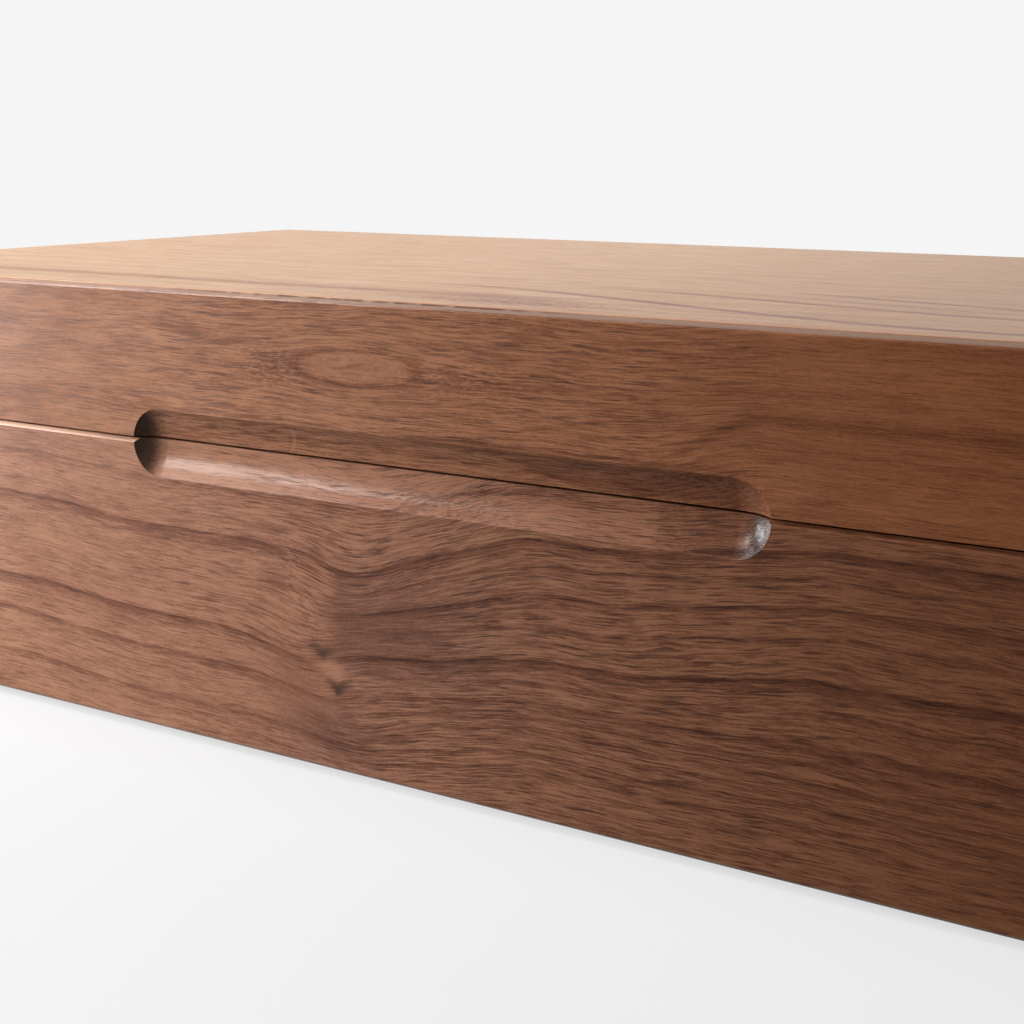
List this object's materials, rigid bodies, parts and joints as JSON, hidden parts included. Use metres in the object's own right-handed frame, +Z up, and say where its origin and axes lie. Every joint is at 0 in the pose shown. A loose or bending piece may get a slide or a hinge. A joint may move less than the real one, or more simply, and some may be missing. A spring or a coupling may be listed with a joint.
{
  "type": "watch box with drawer",
  "caption": "Wooden watch box with a hinged lid over cushioned cells and a full-width drawer below, both opened by a shallow finger groove across the seam.",
  "frame": {"origin": "on the surface that the box stands on, under the middle of its bounding box", "axes": "+Z up, -Y out of the front face with the finger groove, +X to the right of someone facing the front"},
  "size_m": [0.395, 0.199, 0.1015],
  "materials": {
    "walnut": "oiled satin walnut, fine open grain along the box",
    "maple": "pale fine-grained wood, satin",
    "plywood": "plain veneered board, matt",
    "wrapped_board": "thin board wrapped in charcoal suede cloth",
    "lining_suede": "charcoal suede cloth, short soft nap",
    "cushion_suede": "charcoal suede cloth over soft filling",
    "felt": "thin dark felt",
    "brass": "brushed",
    "steel": "zinc plated",
    "rubber": "matt black"
  },
  "bodies": {
    "case": {"side_panel_left": "walnut", "side_panel_right": "walnut", "back_panel": "walnut", "bottom_panel": "plywood", "tray_floor": "plywood", "front_rail": "walnut", "runner_left": "maple", "runner_right": "maple", "runner_screws": "steel", "floor_lining": "lining_suede", "wall_lining": "lining_suede", "row_divider_1": "wrapped_board", "cross_divider_1": "wrapped_board", "cross_divider_2": "wrapped_board", "cross_divider_3": "wrapped_board", "cross_divider_4": "wrapped_board", "cross_divider_5": "wrapped_board", "watch_cushion_1": "cushion_suede", "watch_cushion_2": "cushion_suede", "watch_cushion_3": "cushion_suede", "watch_cushion_4": "cushion_suede", "watch_cushion_5": "cushion_suede", "watch_cushion_6": "cushion_suede", "watch_cushion_7": "cushion_suede", "watch_cushion_8": "cushion_suede", "watch_cushion_9": "cushion_suede", "watch_cushion_10": "cushion_suede", "watch_cushion_11": "cushion_suede", "watch_cushion_12": "cushion_suede", "hinge_left_case_leaf": "brass", "hinge_right_case_leaf": "brass", "hinge_left_pin": "brass", "hinge_right_pin": "brass", "hinge_case_screws": "brass", "lid_bumpers": "felt", "foot_pads": "rubber"},
    "lid": {"lid_top": "walnut", "lid_front": "walnut", "lid_back": "walnut", "lid_left": "walnut", "lid_right": "walnut", "lid_top_lining": "lining_suede", "lid_wall_lining": "lining_suede", "hinge_left_lid_leaf": "brass", "hinge_right_lid_leaf": "brass", "hinge_lid_screws": "brass"},
    "drawer": {"drawer_front": "walnut", "drawer_subfront": "maple", "drawer_back": "maple", "drawer_side_left": "maple", "drawer_side_right": "maple", "drawer_bottom": "plywood", "drawer_divider_1": "wrapped_board", "drawer_divider_2": "wrapped_board", "drawer_floor_lining": "lining_suede", "drawer_wall_lining": "lining_suede", "drawer_stop_pegs": "maple", "drawer_bumpers": "felt", "drawer_front_screws": "steel"}
  },
  "joints": [
    {"name": "lid_hinge", "type": "hinge", "parent": "case", "child": "lid", "pos_m": [0, 0.0955, 0.06805], "axis": [-1, 0, 0], "range_deg": [0, 95]},
    {"name": "drawer_slide", "type": "slide", "parent": "case", "child": "drawer", "axis": [0, -1, 0], "range_m": [0, 0.125]}
  ]
}
